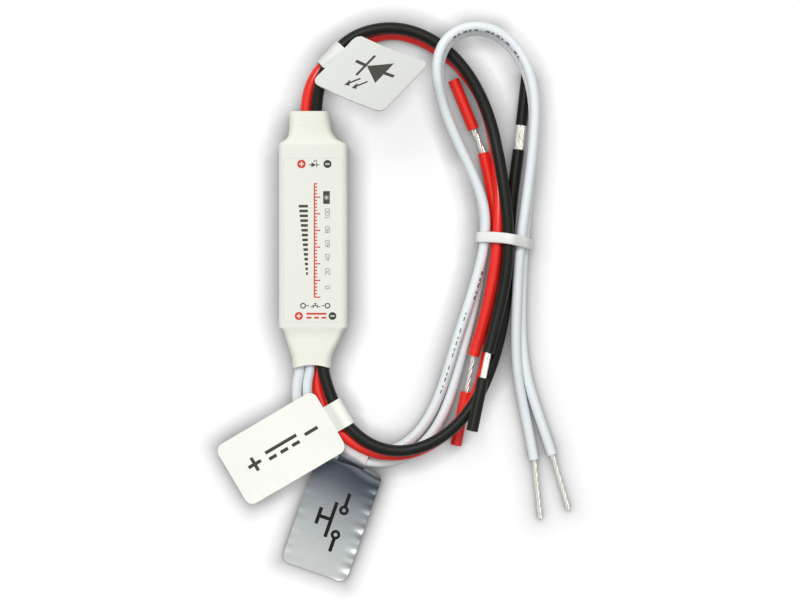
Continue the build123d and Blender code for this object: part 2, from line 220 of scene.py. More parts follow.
def makeSilverFilm(plane, look):
    film = Finish("silver film", {})
    wave = film.noise(*look["wave"])
    crease = film.noise(*look["crease"])

    def travel(direction):
        start = Vector(plane["fold"]).dot(Vector(direction)) / flagLength
        return film.dot(film.place(), direction) * (1 / (flagLength * mm)) - start

    # how far along the flag a spot lies, which sets its painted shade
    shadeSlope = travel(plane["run"]) - look["skew"] * travel(plane["along"])
    share = (shadeSlope + look["waver"] * (wave - 0.5) + look["early"]) * (1 / (1 + look["early"]))
    return film.dress({
        "Base Color": film.add("ShaderNodeValToRGB", {"stops": look["stops"]}, {0: share}),
        "Metallic": look["metallic"] + look["metallicSpread"] * crease,
        "Roughness": look["rough"] + look["spread"] * crease,
        "Normal": film.bump(wave * look["waveHeight"] + crease, *look["bump"]),
    })


# clouded finishes: two tones and a roughness that follow one noise, with or without a bump
# a grain is a finer noise on top, and a fold lifts a tag's film toward it
boardLook = {"sockets": {}, "spread": 0.15, "bump": (0.2, 0.03)}
vinylLook = {"grain": (1500, 2), "grainyShine": False, "spread": 0.12, "cloudHeight": 3.0, "bump": (0.12, 0.03)}
tagFilmLook = {
    "sockets": {"IOR": 1.45}, "cloud": (120, 3), "grain": (2600, 2), "grainyShine": True,
    "rough": 0.42, "spread": 0.2, "cloudHeight": 3.0, "bump": (0.2, 0.04),
}
inkLook = {"sockets": {"IOR": 1.45, "Specular IOR Level": 0.2}, "cloud": (1200, 3), "rough": 0.4, "spread": 0.15}
cloudedLooks = {
    "red vinyl": {
        **vinylLook, "sockets": {"IOR": 1.48, "Specular IOR Level": 0.48}, "cloud": (260, 3), "rough": 0.22,
        "tones": tones((0.84, 0.018, 0.009), 0.88, 1.1),
    },
    "black vinyl": {
        **vinylLook, "sockets": {"IOR": 1.48, "Specular IOR Level": 0.2}, "cloud": (260, 3), "rough": 0.34,
        "tones": tones((0.0115, 0.0117, 0.0098), 0.75, 1.3),
    },
    "white vinyl": {
        **vinylLook, "sockets": {"IOR": 1.48, "Specular IOR Level": 0.45}, "cloud": (220, 3), "rough": 0.3,
        "tones": tones((0.8, 0.85, 0.87), 0.96, 1.03),
    },
    # the same white film as the supply tag, painted darker to stand for the shade on this raised, tilted flag
    "output tag film in painted shade": {
        **tagFilmLook, "tones": tones((0.72, 0.735, 0.705), 0.975, 1.02),
        "plane": tagPlanes["led_tag"], "foldReach": 7.0, "foldHeight": 20,
    },
    "supply tag film": {
        **tagFilmLook, "tones": tones((0.925, 0.93, 0.86), 0.975, 1.02),
        "plane": tagPlanes["supply_tag"], "foldReach": 8.0, "foldHeight": 130,
    },
    "tinned copper": {
        "sockets": {"Metallic": 0.7}, "cloud": (500, 3), "rough": 0.2, "spread": 0.15,
        "tones": ((0.88, 0.87, 0.80, 1), (0.99, 0.985, 0.93, 1)),
    },
    "tie nylon": {
        "sockets": {"IOR": 1.53}, "cloud": (300, 3), "rough": 0.33, "spread": 0.12, "bump": (0.2, 0.05),
        "tones": ((0.79, 0.805, 0.775, 1), (0.85, 0.86, 0.83, 1)),
    },
    "solder mask": {
        **boardLook, "cloud": (700, 4), "rough": 0.35, "tones": ((0.02, 0.16, 0.06, 1), (0.04, 0.24, 0.10, 1)),
    },
    "moulding": {
        **boardLook, "cloud": (2500, 4), "rough": 0.55,
        "tones": ((0.012, 0.012, 0.013, 1), (0.03, 0.03, 0.031, 1)),
    },
    "chip ceramic": {
        **boardLook, "cloud": (2000, 4), "rough": 0.45, "tones": ((0.38, 0.27, 0.17, 1), (0.5, 0.38, 0.26, 1)),
    },
    "glazed chip": {
        **boardLook, "cloud": (2000, 4), "rough": 0.3, "tones": ((0.02, 0.02, 0.02, 1), (0.05, 0.05, 0.05, 1)),
    },
    "solder": {
        **boardLook, "sockets": {"Metallic": 1.0}, "cloud": (900, 4), "rough": 0.25,
        "tones": ((0.6, 0.6, 0.6, 1), (0.8, 0.8, 0.79, 1)),
    },
}
inkColours = {
    "red ink": (0.60, 0.05, 0.03), "dark ink": (0.06, 0.056, 0.045), "grey ink": (0.30, 0.29, 0.26),
    "black ink": (0.008, 0.008, 0.007), "wire ink": (0.2, 0.2, 0.205), "faint face line": (0.70, 0.725, 0.66),
}
for name, colour in inkColours.items():
    cloudedLooks[name] = {**inkLook, "tones": tones(colour, 0.85, 1.15)}


def makeClouded(name, look):
    finish = Finish(name, look["sockets"])
    cloud = finish.noise(*look["cloud"])
    shine, height = cloud, cloud
    if "grain" in look:
        grain = finish.noise(*look["grain"])
        height = grain + look["cloudHeight"] * cloud
        shine = grain if look["grainyShine"] else cloud
    if "plane" in look:
        run, fold = Vector(look["plane"]["run"]), Vector(look["plane"]["fold"])
        lifted = finish.fall(finish.dot(finish.place(), run) - fold.dot(run) * mm, look["foldReach"])
        height = height + look["foldHeight"] * lifted * lifted
    if "bump" in look:
        finish.dress({"Normal": finish.bump(height, *look["bump"])})
    return finish.dress({
        "Base Color": finish.blend(cloud, *look["tones"]),
        "Roughness": look["rough"] + look["spread"] * shine,
    })


finishes = {name: makeClouded(name, look) for name, look in cloudedLooks.items()}
finishes["sleeve film"] = makeSleeveFilm(sleeveLook)
finishes["silver film"] = makeSilverFilm(tagPlanes["button_tag"], silverLook)
print("finishes made:", len(finishes))

solidFinishes = {
    "sleeve film": ["shrink_sleeve"],
    "solder mask": ["circuit_board"],
    "moulding": ["power_transistor", "controller_chip", "voltage_regulator", "protection_diode"],
    "chip ceramic": ["input_capacitor", "output_capacitor", "chip_capacitors"],
    "glazed chip": ["shunt_resistor", "chip_resistors"],
    "solder": ["solder_joints"],
    "tinned copper": ["soldered_tails"],
    "black vinyl": ["led_slug_black", "supply_slug_black"],
    "red vinyl": ["led_slug_red", "supply_slug_red"],
    "output tag film in painted shade": ["led_tag"],
    "supply tag film": ["supply_tag"],
    "silver film": ["button_tag"],
}
for finish, names in solidFinishes.items():
    for name in names:
        nodes[name].data.materials.clear()
        nodes[name].data.materials.append(finishes[finish])


def link(name, data):
    thing = bpy.data.objects.new(name, data)
    scene.collection.objects.link(thing)
    return thing


# a piece of the object, which is all one body
def addPiece(name, data):
    piece = link(name, data)
    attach(piece, "root")
    return piece


def addMesh(name, verts, faces, finish, smooth=True):
    mesh = bpy.data.meshes.new(name)
    mesh.from_pydata([Vector(v) * mm for v in verts], [], faces)
    mesh.materials.append(finishes[finish])
    for face in mesh.polygons:
        face.use_smooth = smooth
    mesh.update()
    return addPiece(name, mesh)


# a solid's own mesh as a piece that takes its place and may be reshaped
def copySolid(name, label):
    data = nodes[name].data.copy()
    if "custom_normal" in data.attributes:
        data.attributes.remove(data.attributes["custom_normal"])
    piece = addPiece(label, data)
    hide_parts(name)
    return piece


def cutAcross(shape, spot, direction, snap):
    whole = shape.verts[:] + shape.edges[:] + shape.faces[:]
    bmesh.ops.bisect_plane(shape, geom=whole, dist=snap, plane_co=spot, plane_no=direction)


# faces of a thin closed slab between two grids of points, the upper grid listed first
def slabFaces(columns, rows):
    wide = rows + 1
    count = (columns + 1) * wide
    faces = []
    for i in range(columns):
        for j in range(rows):
            a = i * wide + j
            faces.append((a, a + 1, a + 1 + wide, a + wide))
            faces.append((count + a, count + a + wide, count + a + 1 + wide, count + a + 1))
    rim = list(range(wide)) + [i * wide + rows for i in range(1, columns + 1)]
    rim += [columns * wide + j for j in reversed(range(rows))] + [i * wide for i in reversed(range(1, columns))]
    faces += [(b, a, count + a, count + b) for a, b in zip(rim, rim[1:] + rim[:1])]
    return faces


# sleeve skin: the step at the supply end drawn to a soft curve, taken off the body and put on the neck
# sideways and up: the size on the body, on the neck and where they meet, and the reach of the curve on each
shoulderLook = {
    "edge": -16.0, "wall": 0.3, "middle": 2.5, "rounds": (1.0, 0.6), "sharp": 40, "smoothReach": 1.0,
    "cuts": 0.08, "firstCut": 0.03, "snap": 1e-8, "onEdge": 0.001, "onSkin": 0.02,
    "side": {"body": 6.2, "neck": 5.52, "meet": 6.08, "ramps": (0.25, 0.95)},
    "top": {"body": 5.0, "neck": 4.75, "meet": 4.965, "ramps": (0.35, 2.2)},
}


def onBody(x, z, inset, look):
    corner = look["rounds"][0 if z > look["middle"] else 1]
    wide = abs(x) - (look["side"]["body"] - corner)
    tall = abs(z - look["middle"]) - (look["top"]["body"] - look["middle"] - corner)
    reach = hypot(wide, tall) if wide > 0 and tall > 0 else max(wide, tall)
    return corner - reach - inset < look["onSkin"]


# the firm size at a spot, and what the soft curve adds to it
def softStep(way, body, along):
    firm = way["body" if body else "neck"]
    ramp = way["ramps"][0 if body else 1]
    return firm, (way["meet"] - firm) * max(0, 1 - abs(along) / ramp) ** 2


def softShoulder(look):
    skin = copySolid("shrink_sleeve", "sleeve_skin")
    start, middle, close = look["edge"], look["middle"], look["onEdge"]
    before, after = look["top"]["ramps"]
    shape = bmesh.new()
    shape.from_mesh(skin.data)
    bmesh.ops.remove_doubles(shape, verts=shape.verts[:], dist=look["snap"])
    cut = start + before + look["wall"] - look["firstCut"]
    while cut > start - after:
        cutAcross(shape, (0, cut * mm, 0), (0, 1, 0), look["snap"])
        cut -= look["cuts"]
    shape.normal_update()
    moves = {}
    for v in shape.verts:
        x, y, z = v.co / mm
        outer = v.normal.x * x + v.normal.z * (z - middle) > 0
        inset = 0 if outer else look["wall"]
        along = y - inset - start
        body = along > close or (along > -close and onBody(x, z, inset, look))
        half, wider = softStep(look["side"], body, along)
        high, lift = softStep(look["top"], body, along)
        x *= 1 + wider / half
        z += lift * max(0, (z - middle) / (high - middle))
        moves[v] = Vector((x, y, z)) * mm
    for v, spot in moves.items():
        v.co = spot
    shape.normal_update()
    for edge in shape.edges:
        near = abs(edge.verts[0].co.y / mm - start) < look["smoothReach"]
        edge.smooth = near or edge.calc_face_angle(0) < radians(look["sharp"])
    for face in shape.faces:
        face.smooth = True
    shape.to_mesh(skin.data)
    shape.free()
    weighted = skin.modifiers.new("even shading", "WEIGHTED_NORMAL")
    weighted.keep_sharp = True


softShoulder(shoulderLook)


# tie band: a soft-edged section swept round the solid strap's outline, bowed toward the output end
tieLook = {
    "centre": (34.6, -0.3, 3.2), "slant": 8, "width": 1.95, "thick": 0.6, "bow": 0.45,
    "steps": 120, "section": 18, "deepRound": 0.7, "wideRound": 0.55, "straight": 1e-6, "grid": 4,
}


def outerHull(points, straight):
    ordered = sorted(points, key=lambda p: (p.x, p.y))
    hull = []
    for sweep in (ordered, ordered[::-1]):
        side = []
        for p in sweep:
            while len(side) > 1 and (side[-1] - side[-2]).cross(p - side[-2]) <= straight:
                side.pop()
            side.append(p)
        hull += side[:-1]
    return hull


def powered(value, power):
    return copysign(abs(value) ** power, value)


def tieBand(look):
    steps, section = look["steps"], look["section"]
    slant = radians(look["slant"])
    across = Vector((cos(slant), -sin(slant), 0))
    axle = across.cross(upward)
    centre = Vector(look["centre"])
    strap = [v.co / mm - centre for v in nodes["bundle_tie"].data.vertices]
    flat = [Vector((round(v.dot(across), look["grid"]), round(v.dot(upward), look["grid"]))) for v in strap]
    hull = outerHull(flat, look["straight"])
    sides = [(b - a).length for a, b in zip(hull, hull[1:] + hull[:1])]
    half = max(abs(p.x) for p in hull)
    line = []
    for i in range(steps):
        left = sum(sides) * i / steps
        edge = 0
        while left > sides[edge]:
            left -= sides[edge]
            edge += 1
        line.append(hull[edge].lerp(hull[(edge + 1) % len(hull)], left / sides[edge]))
    verts, faces = [], []
    for i, spot in enumerate(line):
        ahead = (line[(i + 2) % len(line)] - line[i - 2]).normalized()
        outward = across * ahead.y - upward * ahead.x
        bow = -look["bow"] * (1 - (spot.x / half) ** 2)
        middle = centre + across * spot.x + upward * spot.y - outward * look["thick"] / 2 + axle * bow
        for j in range(section):
            turn = j * tau / section
            deep = powered(cos(turn), look["deepRound"]) * look["thick"] / 2
            wide = powered(sin(turn), look["wideRound"]) * look["width"] / 2
            verts.append(middle + outward * deep + axle * wide)
    for i in range(steps):
        for j in range(section):
            a, b = i * section + j, i * section + (j + 1) % section
            c, d = (a + section) % len(verts), (b + section) % len(verts)
            faces.append((a, c, d, b))
    band = addMesh("tie_band", verts, faces, "tie nylon")
    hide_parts("bundle_tie")


tieBand(tieLook)
print("sleeve skin and tie made")

# what leads of one kind share, in millimetres
redLead = {"radius": 1.05, "core": 0.5, "finish": "red vinyl", "slot": "red_insulation"}
blackLead = {**redLead, "finish": "black vinyl", "slot": "black_insulation"}
whiteLead = {
    "radius": 0.9, "core": 0.38, "finish": "white vinyl", "slot": "white_insulation",
    "window": None, "girth": 0.45, "layers": 0, "fan": -0.16, "pitch": 6.5, "swell": 1.02,
}

# route of each lead from the board to where it is stripped
routes = {
    "led_lead_black": [
        (0.54, 16.25, 2.5), (0.52, 19.64, 2.85), (0.47, 23.41, 3.2), (1.04, 27.67, 4.1),
        (2.85, 32.35, 4.2), (6.08, 36.11, 3.6), (10.59, 38.08, 3.25), (15.65, 38.36, 3.15),
        (20.53, 36.8, 3.1), (24.69, 33.9, 3.15), (28.12, 29.91, 3.3), (30.65, 25.21, 3.35),
        (32.35, 20.32, 3.55), (33.41, 15.22, 4.3), (34.28, 9.96, 5.0), (34.95, 4.73, 5.3),
        (35.24, -0.49, 5.25), (34.9, -5.7, 5.3), (33.9, -10.92, 5.45), (32.72, -15.77, 5.7),
        (31.5, -20.43, 6.15),
    ],
    "led_lead_red": [
        (-1.81, 16.25, 2.5), (-1.64, 19.68, 2.3), (-1.41, 23.5, 2.05), (-0.92, 26.92, 2.3),
        (0.53, 30.18, 2.35), (2.97, 32.67, 1.9), (6.22, 34.72, 1.3), (10.21, 36.65, 1.12),
        (14.56, 37.52, 1.12), (18.74, 36.46, 1.12), (22.64, 34.47, 1.12), (26.45, 31.47, 1.12),
        (29.63, 27.39, 1.12), (31.63, 22.66, 1.15), (32.79, 17.55, 1.7), (33.34, 12.79, 2.45),
        (33.54, 7.87, 3.2), (33.46, 3.15, 3.85), (33.2, -1.36, 4.02), (32.58, -6.23, 3.75),
        (31.64, -11.28, 3.25), (30.4, -16.35, 2.7), (28.96, -20.97, 2.2),
    ],
    "supply_lead_black": [
        (3.53, -15.95, 2.5), (2.35, -19.1, 3.1), (1.6, -22.84, 3.45), (2.53, -26.44, 3.8),
        (4.03, -30.21, 4.3), (6.47, -33.96, 4.95), (10.26, -36.99, 5.45), (15.11, -38.33, 5.6),
        (20.14, -37.34, 5.65), (24.55, -34.73, 5.7), (27.97, -31.14, 5.55), (30.52, -26.96, 4.5),
        (32.36, -22.48, 3.3), (33.81, -17.44, 2.5), (34.76, -12.01, 2.1), (35.24, -6.21, 1.9),
        (35.35, -0.41, 1.85), (35.69, 5.04, 1.6), (36.4, 10.68, 1.15), (37.17, 16.31, 1.1),
    ],
    "supply_lead_red": [
        (1.0, -15.95, 2.45), (0.65, -19.26, 1.45), (0.71, -22.89, 1.55), (0.64, -26.51, 1.75),
        (1.71, -30.29, 2.3), (4.08, -34.06, 2.95), (7.43, -37.02, 3.4), (12.04, -38.91, 3.45),
        (17.1, -38.91, 3.45), (21.79, -36.83, 3.5), (25.67, -33.76, 3.52), (28.48, -29.98, 3.25),
        (30.33, -25.6, 1.9), (31.53, -20.9, 1.2), (32.3, -15.64, 1.1), (32.8, -10.19, 1.3),
        (33.12, -5.12, 1.6), (33.2, -0.04, 1.83), (32.92, 5.23, 1.4), (31.99, 10.5, 1.1),
        (30.78, 15.77, 1.08),
    ],
    "button_lead_a": [
        (-1.27, -15.95, 2.5), (-0.75, -19.24, 2.95), (-0.45, -22.85, 3.3), (-1.3, -26.85, 2.6),
        (-0.58, -31.23, 1.6), (0.95, -34.61, 1.25), (3.76, -36.79, 1.2), (7.39, -37.87, 1.2),
        (11.3, -38.6, 1.2), (15.11, -37.97, 1.05), (18.38, -35.71, 0.95), (21.1, -31.99, 0.93),
        (23.09, -27.52, 1.4), (24.49, -23.05, 2.2), (26.05, -17.79, 2.7), (27.95, -12.0, 2.95),
        (29.74, -6.22, 3.3), (31.05, -0.45, 3.56), (31.13, 5.32, 3.9), (29.31, 10.7, 4.5),
        (26.62, 16.23, 5.4), (24.08, 21.73, 6.4), (22.33, 27.23, 7.15), (22.13, 32.41, 7.3),
        (24.07, 36.38, 7.0), (28.21, 38.42, 6.4), (32.9, 37.76, 5.85), (36.65, 34.71, 5.45),
        (39.07, 30.27, 5.3), (40.06, 24.72, 5.0), (39.79, 18.62, 4.6), (39.15, 12.34, 4.2),
        (38.3, 6.04, 3.8), (37.37, -0.27, 3.62), (36.93, -6.4, 3.4), (36.71, -12.55, 3.0),
        (36.56, -18.7, 2.6), (36.92, -24.7, 1.78), (38.17, -30.9, 0.97), (39.26, -35.98, 0.93),
        (39.99, -39.89, 0.93),
    ],
    "button_lead_b": [
        (-3.53, -15.95, 2.5), (-2.88, -19.24, 2.9), (-2.25, -22.85, 3.1), (-3.25, -27.03, 2.4),
        (-2.58, -31.6, 1.5), (-0.95, -35.51, 1.25), (2.22, -38.24, 1.2), (6.58, -39.6, 1.2),
        (11.48, -40.6, 1.2), (16.02, -39.79, 1.05), (19.65, -37.35, 0.95), (22.37, -34.08, 0.93),
        (24.46, -29.63, 0.93), (25.91, -24.45, 0.95), (27.46, -18.55, 1.02), (28.96, -12.55, 1.15),
        (30.26, -6.38, 1.45), (31.05, -0.22, 1.68), (30.91, 5.57, 2.0), (29.37, 10.79, 2.6),
        (26.81, 16.17, 3.5), (24.35, 21.6, 4.5), (22.76, 27.03, 5.25), (22.63, 32.05, 5.42),
        (24.38, 35.77, 5.12), (28.26, 37.82, 4.5), (32.43, 37.34, 3.95), (35.97, 34.58, 3.55),
        (38.59, 30.26, 3.4), (39.8, 24.87, 3.1), (39.8, 18.75, 2.7), (39.43, 12.44, 2.3),
        (38.81, 6.12, 1.9), (38.13, -0.22, 1.7), (37.85, -6.39, 1.6), (37.68, -12.55, 1.35),
        (37.79, -18.73, 1.0), (38.63, -24.72, 0.93), (40.44, -30.72, 0.93), (42.08, -35.35, 0.93),
        (43.26, -38.98, 0.93),
    ],
}

# each lead: where it leaves the sleeve, its length in metres, the far end of its strands and how they lie
leads = {
    "led_lead_black": {
        **blackLead, "exit": (0.47, 23.3, 3.2), "length": 0.0987, "far": (28.53, -34.34, 7.9), "window": 4.68,
        "girth": 0.54, "layers": 2, "fan": 0.0, "pitch": 26.0, "swell": 1.2,
    },
    "led_lead_red": {
        **redLead, "exit": (-1.41, 23.3, 2.1), "length": 0.0987, "far": (25.82, -37.25, 1.07), "window": 6.76,
        "girth": 0.44, "layers": 0, "fan": -0.2, "pitch": 6.5, "swell": 1.02,
    },
    "supply_lead_black": {
        **blackLead, "exit": (1.85, -23.0, 3.45), "length": 0.0936, "far": (38.77, 30.48, 1.07), "window": 4.57,
        "girth": 0.8, "layers": 3, "fan": 0.04, "pitch": 60.0, "swell": 1.3,
    },
    "supply_lead_red": {
        **redLead, "exit": (0.72, -23.0, 1.6), "length": 0.0949, "far": (25.33, 29.02, 1.07), "window": 4.65,
        "girth": 0.6, "layers": 0, "fan": -0.34, "pitch": 9.5, "swell": 1.02,
    },
    "button_lead_a": {**whiteLead, "exit": (-0.58, -23.0, 3.2), "length": 0.2048, "far": (41.14, -50.7, 0.5)},
    "button_lead_b": {**whiteLead, "exit": (-2.43, -23.0, 3.0), "length": 0.208, "far": (46.3, -49.1, 0.5)},
}
skinLook = {"lengthwise": 10, "round": 7}


# smooth line with the route as its control points
def leadCurve(name, lead, route, look):
    data = bpy.data.curves.new(name + "_skin", "CURVE")
    data.dimensions = "3D"
    data.resolution_u = look["lengthwise"]
    spline = data.splines.new("NURBS")
    spline.points.add(len(route) - 1)
    for point, spot in zip(spline.points, route):
        point.co = (*(Vector(spot) * mm), 1)
    spline.order_u = 3
    spline.use_endpoint_u = True
    data.bevel_depth = lead["radius"] * mm
    data.bevel_resolution = look["round"]
    data.use_fill_caps = True
    data.materials.append(finishes[lead["finish"]])
    piece = addPiece(name + "_skin", data)
    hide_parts(name)
    return piece


# twisted strands along a bare end, each a thin tube on its own helix, drawn in where insulation holds it
strandLook = {
    "rings": 90, "sides": 8, "inLead": 0.8, "shortOfEnd": 0.4, "hold": 0.95, "holdReach": 0.3,
    "wobble": 0.12, "wobbleRate": 1.3, "ofFour": 0.414,
}


# radius of a strand, and how far out and at what angle each one sits
def strandSeats(girth, layers, look):
    if not layers:
        return girth * look["ofFour"], [(girth * (1 - look["ofFour"]), i * tau / 4) for i in range(4)]
    thick = girth / (2 * layers + 1)
    seats = [(0, 0)]
    for layer in range(1, layers + 1):
        seats += [(2 * layer * thick, i * tau / (6 * layer)) for i in range(6 * layer)]
    return thick, seats


def strandBundle(name, lead, start, look):
    way = Vector(lead["far"]) - start
    reach, axis = way.length, way.normalized()
    side = axis.orthogonal().normalized()
    over = axis.cross(side)

    def outward(turn):
        return side * cos(turn) + over * sin(turn)

    bare = lead["window"] or reach
    low = -look["inLead"]
    high = reach - look["shortOfEnd"] if lead["window"] else reach
    held = min(1, look["hold"] * lead["core"] / lead["girth"])
    rings, sides = look["rings"], look["sides"]
    thick, seats = strandSeats(lead["girth"], lead["layers"], look)
    verts, faces = [], []
    for distance, angle in seats:
        wobble = random.uniform(-look["wobble"], look["wobble"])
        first = len(verts)
        for i in range(rings + 1):
            along = low + (high - low) * i / rings
            bulge = 1 + lead["fan"] * sin(pi * min(1, max(0, along / bare)))
            inSlug = along - bare if lead["window"] else 0
            fit = 1 + (held - 1) * min(1, max(0, -along, inSlug) / look["holdReach"])
            turn = angle + tau * along / lead["pitch"] + wobble * sin(along * look["wobbleRate"] + angle)
            centre = start + axis * along + outward(turn) * distance * bulge * fit
            for j in range(sides):
                verts.append(centre + outward(turn + j * tau / sides) * thick * lead["swell"] * fit)
        for i in range(rings):
            for j in range(sides):
                a = first + i * sides + j
                b = first + i * sides + (j + 1) % sides
                faces.append((a, b, b + sides, a + sides))
        faces.append([first + j for j in reversed(range(sides))])
        faces.append([first + rings * sides + j for j in range(sides)])
    return addMesh(name, verts, faces, "tinned copper")


# points along a lead's smooth line, read from the spline itself
def leadLine(skin):
    bare = skin.data.copy()
    bare.bevel_depth = 0
    bare.use_fill_caps = False
    probe = bpy.data.objects.new("probe", bare)
    mesh = bpy.data.meshes.new_from_object(probe)
    points = [v.co / mm for v in mesh.vertices]
    bpy.data.objects.remove(probe)
    bpy.data.meshes.remove(mesh)
    bpy.data.curves.remove(bare)
    return points


inkThick = 0.008

# plain dashes along a white lead, which turns them from its top to its side, with a gap after each group
dashLook = {
    "pitch": 1.15, "length": 0.72, "lift": 0.012, "lengths": (1.0, 0.55, 1.15, 0.8), "group": 6, "cells": 3,
    "stretches": [
        {"from": 47.5, "to": 64.0, "tilt": 0.05, "spread": 0.12},
        {"from": 65.5, "to": 73.0, "tilt": 0.85, "spread": 0.26},
        {"from": 115.5, "to": 132.0, "tilt": 0.92, "spread": 0.26},
    ],
}


def addDashes(name, skin, lead, look):
    points = leadLine(skin)
    travelled = [0.0]
    for a, b in zip(points, points[1:]):
        travelled.append(travelled[-1] + (b - a).length)

    def spot(distance):
        i = max(k for k in range(len(points) - 1) if travelled[k] <= distance)
        share = (distance - travelled[i]) / (travelled[i + 1] - travelled[i])
        return points[i].lerp(points[i + 1], share), (points[i + 1] - points[i]).normalized()

    cells = look["cells"]
    verts, faces = [], []
    for stretch in look["stretches"]:
        for dash in range(int((stretch["to"] - stretch["from"]) / look["pitch"])):
            if dash % look["group"] == look["group"] - 1:
                continue
            first = len(verts)
            length = look["length"] * look["lengths"][dash % len(look["lengths"])]
            for height in (look["lift"], look["lift"] - inkThick):
                for i in range(cells + 1):
                    centre, ahead = spot(stretch["from"] + dash * look["pitch"] + length * i / cells)
                    aside = ahead.cross(upward).normalized()
                    above = aside.cross(ahead)
                    for j in range(cells + 1):
                        angle = stretch["tilt"] + stretch["spread"] * (j / cells * 2 - 1)
                        outward = aside * sin(angle) + above * cos(angle)
                        verts.append(centre + outward * (lead["radius"] + height))
            faces += [tuple(first + i for i in reversed(face)) for face in slabFaces(cells, cells)]
    return addMesh(name, verts, faces, "wire ink")


for name, lead in leads.items():
    skin = leadCurve(name, lead, routes[name], skinLook)
    strands = strandBundle(name.replace("lead", "strands"), lead, Vector(routes[name][-1]), strandLook)
    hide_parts(name.replace("lead", "core"))
    if name == "button_lead_a":
        addDashes("button_lead_dashes", skin, lead, dashLook)
    2 * lead["radius"] * mm
print("leads and strands made")


# flat marks: each shape is a list of outlines in millimetres
def disc(x, y, r, steps=32):
    turns = [i * tau / steps for i in range(steps)]
    return [[(x + r * cos(turn), y + r * sin(turn)) for turn in turns]]


def bar(x0, y0, x1, y1):
    return [[(x0, y0), (x1, y0), (x1, y1), (x0, y1)]]


# a line of even width, its corners mitred
def stroke(points, width):
    ways = [(Vector(b) - Vector(a)).normalized() for a, b in zip(points, points[1:])]
    rails = []
    for i, (x, y) in enumerate(points):
        before, after = ways[max(0, i - 1)], ways[min(i, len(ways) - 1)]
        middle = (before + after).normalized()
        u, v = middle * (width / 2 / max(0.5, middle.dot(after)))
        rails.append(((x + v, y - u), (x - v, y + u)))
    return [[a[0], b[0], b[1], a[1]] for a, b in zip(rails, rails[1:])]


def ring(x, y, r, width, steps=28):
    inner, outer = r - width / 2, r + width / 2
    shapes = []
    for i in range(steps):
        a, b = i * tau / steps, (i + 1) * tau / steps
        corners = ((inner, a), (outer, a), (outer, b), (inner, b))
        shapes.append([(x + reach * cos(turn), y + reach * sin(turn)) for reach, turn in corners])
    return shapes


def turned(shapes, x, y):
    return [[(x - v, y + u) for u, v in shape] for shape in shapes]


def moved(shapes, x, y, scale=1.0):
    return [[(x + u * scale, y + v * scale) for u, v in shape] for shape in shapes]


def plusSign(x, y, r, width):
    h = width / 2
    corners = [(-r, -h), (-h, -h), (-h, -r), (h, -r), (h, -h), (r, -h)]
    return [[(x + u, y + v) for u, v in corners + [(-u, -v) for u, v in corners]]]


# plain figures drawn with straight strokes in a cell 0.6 wide and 1 high
figureStrokes = {
    "0": [[(0, 0.15), (0, 0.85), (0.15, 1), (0.45, 1), (0.6, 0.85), (0.6, 0.15), (0.45, 0), (0.15, 0), (0, 0.15)]],
    "1": [[(0.1, 0.8), (0.35, 1), (0.35, 0)]],
    "2": [[(0, 0.85), (0.15, 1), (0.45, 1), (0.6, 0.85), (0.6, 0.6), (0, 0), (0.6, 0)]],
    "4": [[(0.45, 0), (0.45, 1), (0, 0.3), (0.6, 0.3)]],
    "6": [[
        (0.55, 1), (0.2, 0.9), (0, 0.5), (0, 0.15), (0.15, 0),
        (0.45, 0), (0.6, 0.15), (0.6, 0.4), (0.45, 0.52), (0, 0.42),
    ]],
    "8": [
        [
            (0.15, 0.53), (0.02, 0.68), (0.02, 0.87), (0.15, 1),
            (0.45, 1), (0.58, 0.87), (0.58, 0.68), (0.45, 0.53), (0.15, 0.53),
        ],
        [(0.15, 0.53), (0, 0.38), (0, 0.13), (0.15, 0), (0.45, 0), (0.6, 0.13), (0.6, 0.38), (0.45, 0.53)],
    ],
}
figurePitch = 0.85


def figures(text, height, width):
    shapes = []
    for place, figure in enumerate(text):
        for line in figureStrokes[figure]:
            shapes += moved(stroke(line, width / height), place * figurePitch * height, 0, height)
    return shapes


# the signs' own proportions stand where they are drawn
def diodeSign(size, width):
    half = size / 2
    tip = half - width / 2
    shapes = bar(-size, -width / 2, -half, width / 2) + bar(half + width / 2, -width / 2, size, width / 2)
    shapes += [[(-half, -half * 0.9), (tip, 0), (-half, half * 0.9)]]
    shapes += bar(tip, -half * 0.9, tip + width, half * 0.9)
    for shift in (0, half * 0.75):
        x0, y0 = shift - half * 0.3, half * 1.0
        x1, y1 = x0 + half * 0.5, y0 + half * 0.58
        shapes += stroke([(x0, y0), (x1, y1)], width * 0.7)
        shapes += moved([[(0.25, 0.28), (-0.2, 0.2), (0.16, -0.2)]], x1, y1, half)
    return shapes


def directCurrentSign(length, width):
    shapes = bar(-length / 2, width * 0.7, length / 2, width * 1.7)
    dash = length / 4.2
    for i in (-1, 0, 1):
        middle = i * length / 2.7
        shapes += bar(middle - dash / 2, -width * 1.4, middle + dash / 2, -width * 0.4)
    return shapes


def buttonSign(size, width):
    half = width / 2
    bridge, cap = size * 0.3, size * 0.72
    shapes = bar(-size, -half, -size * 0.55, half) + bar(size * 0.55, -half, size, half)
    for x in (-size * 0.42, size * 0.42):
        shapes += ring(x, 0, size * 0.11, width * 0.8)
    shapes += bar(-size * 0.6, bridge - half, size * 0.6, bridge + half)
    shapes += bar(-half, bridge + half, half, cap - half)
    shapes += bar(-size * 0.28, cap - half, size * 0.28, cap + half)
    return shapes


